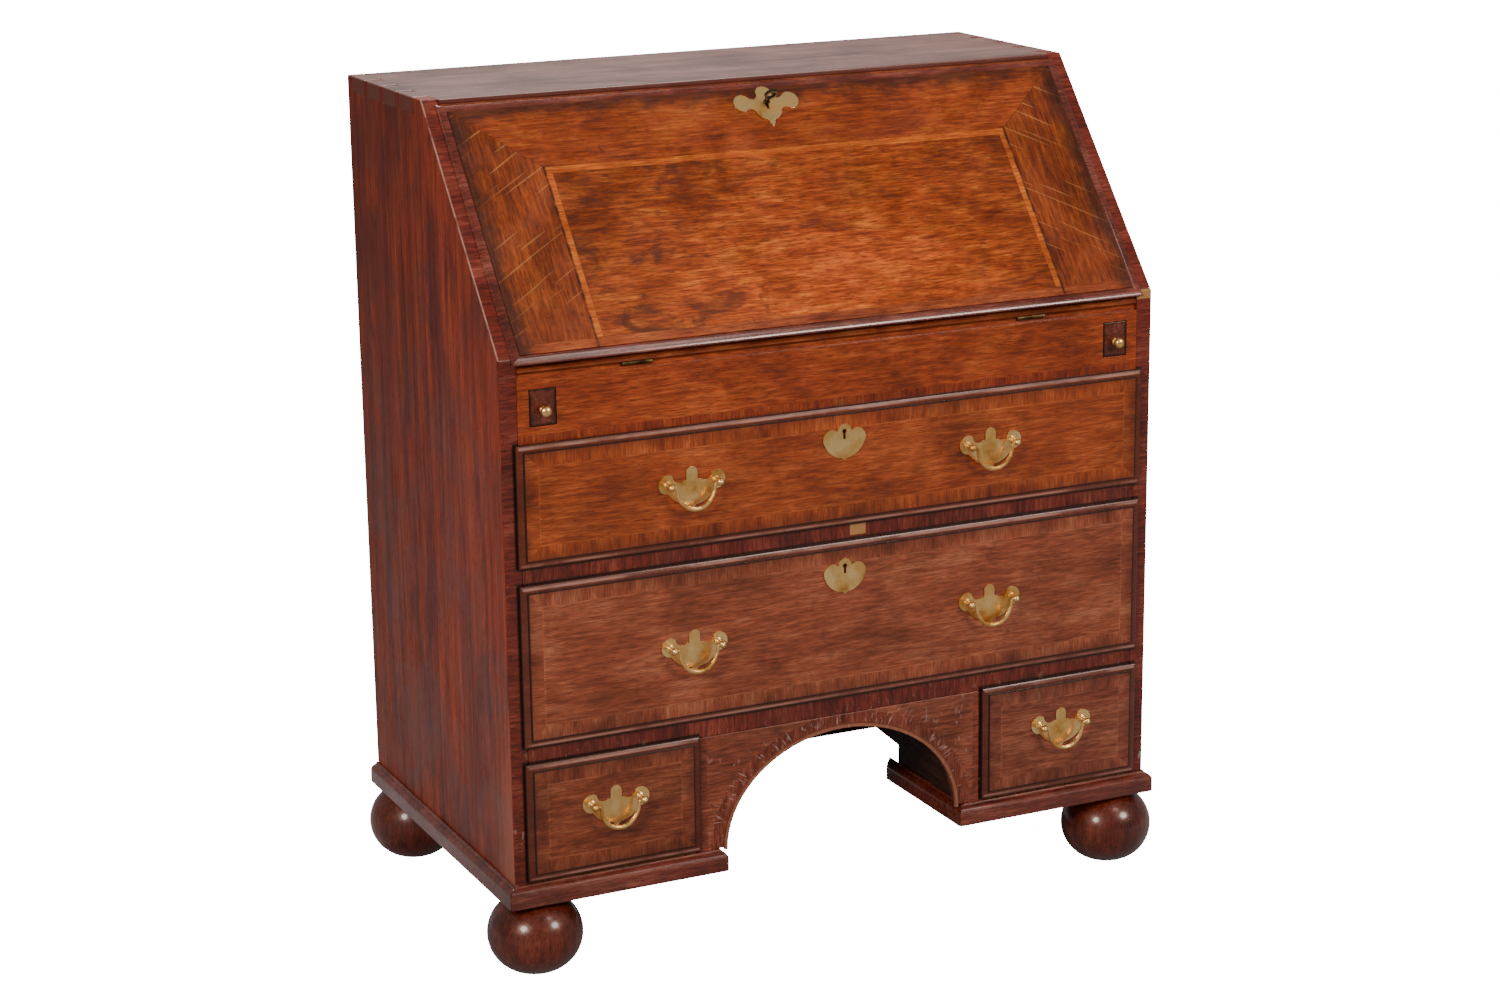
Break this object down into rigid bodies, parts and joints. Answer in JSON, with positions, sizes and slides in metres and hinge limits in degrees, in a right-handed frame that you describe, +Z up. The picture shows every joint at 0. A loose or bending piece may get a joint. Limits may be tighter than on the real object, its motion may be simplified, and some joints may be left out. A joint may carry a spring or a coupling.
{
  "type": "slant-front secretary desk",
  "caption": "Slant-front oak secretary desk with a fall, pull-out lopers, lipped drawers, an arched kneehole, bun feet and brass bail handles.",
  "frame": {"origin": "on the floor under the middle of the desk's outer box", "axes": "+X to the right, +Y to the back, +Z up"},
  "size_m": [0.948, 0.5618, 1.06],
  "materials": {
    "oak_case": "old oak, stained dark red-brown and waxed",
    "oak_top": "old oak with a worn grey-brown polish",
    "oak_plain": "plain unpolished oak and pine",
    "walnut_facing": "crossbanded walnut veneer, polished",
    "oak_fall": "figured oak veneer, orange brown, polished",
    "oak_fronts": "oak veneer, red brown, polished",
    "stained_feet": "turned, stained dark and polished",
    "drawer_lining": "bare oak drawer lining",
    "brass": "cast brass, mellow polish",
    "iron": "dark worn iron"
  },
  "bodies": {
    "case": {"side_left": "oak_case", "side_right": "oak_case", "top_board": "oak_top", "back_boards": "oak_plain", "writing_floor": "oak_plain", "frieze_rail": "walnut_facing", "loper_housings": "oak_plain", "drawer_rails": "oak_plain", "dust_boards": "oak_plain", "arch_apron": "walnut_facing", "arch_bead": "walnut_facing", "kneehole_panels": "oak_plain", "pedestal_floors": "oak_plain", "base_mouldings": "walnut_facing", "bun_feet": "stained_feet", "inner_framing": "oak_plain", "edge_facings": "walnut_facing", "pigeonhole_case": "oak_plain", "pigeonhole_valances": "oak_fronts", "hinge_case_leaves": "brass"},
    "fall": {"fall_board": "oak_fall", "fall_moulding": "walnut_facing", "fall_field": "oak_fall", "fall_banding": "walnut_facing", "hinge_fall_leaves": "brass", "fall_lock": "brass", "fall_escutcheon": "brass"},
    "fall_key": {"fall_key": "iron"},
    "fall_bolt": {"fall_lock_bolt": "iron"},
    "loper_left": {"loper_left": "walnut_facing", "loper_knob_left": "brass"},
    "loper_right": {"loper_right": "walnut_facing", "loper_knob_right": "brass"},
    "upper_drawer": {"upper_drawer_front": "oak_fronts", "upper_drawer_box": "drawer_lining", "upper_drawer_brasses": "brass", "upper_drawer_lock": "brass"},
    "upper_drawer_bolt": {"upper_drawer_bolt": "iron"},
    "upper_bail_left": {"upper_bail_left": "brass"},
    "upper_bail_right": {"upper_bail_right": "brass"},
    "lower_drawer": {"lower_drawer_front": "oak_fronts", "lower_drawer_box": "drawer_lining", "lower_drawer_brasses": "brass", "lower_drawer_lock": "brass"},
    "lower_drawer_bolt": {"lower_drawer_bolt": "iron"},
    "lower_bail_left": {"lower_bail_left": "brass"},
    "lower_bail_right": {"lower_bail_right": "brass"},
    "short_drawer_left": {"short_left_front": "oak_fronts", "short_left_box": "drawer_lining", "short_left_brasses": "brass"},
    "short_bail_left": {"short_left_bail": "brass"},
    "inner_drawer_left": {"inner_drawer_left": "oak_fronts"},
    "short_drawer_right": {"short_right_front": "oak_fronts", "short_right_box": "drawer_lining", "short_right_brasses": "brass"},
    "short_bail_right": {"short_right_bail": "brass"},
    "inner_drawer_right": {"inner_drawer_right": "oak_fronts"},
    "well_cover": {"well_cover": "oak_plain"},
    "prospect_door": {"prospect_door": "oak_fronts"}
  },
  "joints": [
    {"name": "fall_hinge", "type": "hinge", "parent": "case", "child": "fall", "pos_m": [0, -0.2485, 0.762], "axis": [1, 0, 0], "range_deg": [0, 130]},
    {"name": "fall_key_turn", "type": "hinge", "parent": "fall", "child": "fall_key", "pos_m": [0, -0.03466, 1.01684], "axis": [0, -0.766, 0.6428], "range_deg": [0, 90]},
    {"name": "fall_bolt_slide", "type": "slide", "parent": "fall", "child": "fall_bolt", "axis": [0, 0.6428, 0.766], "range_m": [0, 0.009]},
    {"name": "loper_left_slide", "type": "slide", "parent": "case", "child": "loper_left", "axis": [0, -1, 0], "range_m": [0, 0.3]},
    {"name": "loper_right_slide", "type": "slide", "parent": "case", "child": "loper_right", "axis": [0, -1, 0], "range_m": [0, 0.3]},
    {"name": "upper_drawer_slide", "type": "slide", "parent": "case", "child": "upper_drawer", "axis": [0, -1, 0], "range_m": [0, 0.33]},
    {"name": "upper_bolt_slide", "type": "slide", "parent": "upper_drawer", "child": "upper_drawer_bolt", "axis": [0, 0, 1], "range_m": [0, 0.009]},
    {"name": "upper_bail_left_swing", "type": "hinge", "parent": "upper_drawer", "child": "upper_bail_left", "pos_m": [-0.208, -0.27405, 0.608], "axis": [-1, 0, 0], "range_deg": [0, 95]},
    {"name": "upper_bail_right_swing", "type": "hinge", "parent": "upper_drawer", "child": "upper_bail_right", "pos_m": [0.208, -0.27405, 0.608], "axis": [-1, 0, 0], "range_deg": [0, 95]},
    {"name": "lower_drawer_slide", "type": "slide", "parent": "case", "child": "lower_drawer", "axis": [0, -1, 0], "range_m": [0, 0.33]},
    {"name": "lower_bolt_slide", "type": "slide", "parent": "lower_drawer", "child": "lower_drawer_bolt", "axis": [0, 0, 1], "range_m": [0, 0.009]},
    {"name": "lower_bail_left_swing", "type": "hinge", "parent": "lower_drawer", "child": "lower_bail_left", "pos_m": [-0.208, -0.27405, 0.4011], "axis": [-1, 0, 0], "range_deg": [0, 95]},
    {"name": "lower_bail_right_swing", "type": "hinge", "parent": "lower_drawer", "child": "lower_bail_right", "pos_m": [0.208, -0.27405, 0.4011], "axis": [-1, 0, 0], "range_deg": [0, 95]},
    {"name": "short_left_slide", "type": "slide", "parent": "case", "child": "short_drawer_left", "axis": [0, -1, 0], "range_m": [0, 0.12]},
    {"name": "short_left_bail_swing", "type": "hinge", "parent": "short_drawer_left", "child": "short_bail_left", "pos_m": [-0.3175, -0.27405, 0.217], "axis": [-1, 0, 0], "range_deg": [0, 95]},
    {"name": "inner_left_slide", "type": "slide", "parent": "case", "child": "inner_drawer_left", "axis": [0, -1, 0], "range_m": [0, 0.16]},
    {"name": "short_right_slide", "type": "slide", "parent": "case", "child": "short_drawer_right", "axis": [0, -1, 0], "range_m": [0, 0.12]},
    {"name": "short_right_bail_swing", "type": "hinge", "parent": "short_drawer_right", "child": "short_bail_right", "pos_m": [0.3175, -0.27405, 0.217], "axis": [-1, 0, 0], "range_deg": [0, 95]},
    {"name": "inner_right_slide", "type": "slide", "parent": "case", "child": "inner_drawer_right", "axis": [0, -1, 0], "range_m": [0, 0.16]},
    {"name": "prospect_door_hinge", "type": "hinge", "parent": "case", "child": "prospect_door", "pos_m": [-0.051, 0.0155, 0.837], "axis": [0, 0, -1], "range_deg": [0, 94]},
    {"name": "well_cover_slide", "type": "slide", "parent": "case", "child": "well_cover", "axis": [0, 1, 0], "range_m": [0, 0.145]}
  ],
  "couplings": [
    {"joint": "fall_bolt_slide", "follows": "fall_key_turn", "m_per_rad": 0.0057296}
  ]
}
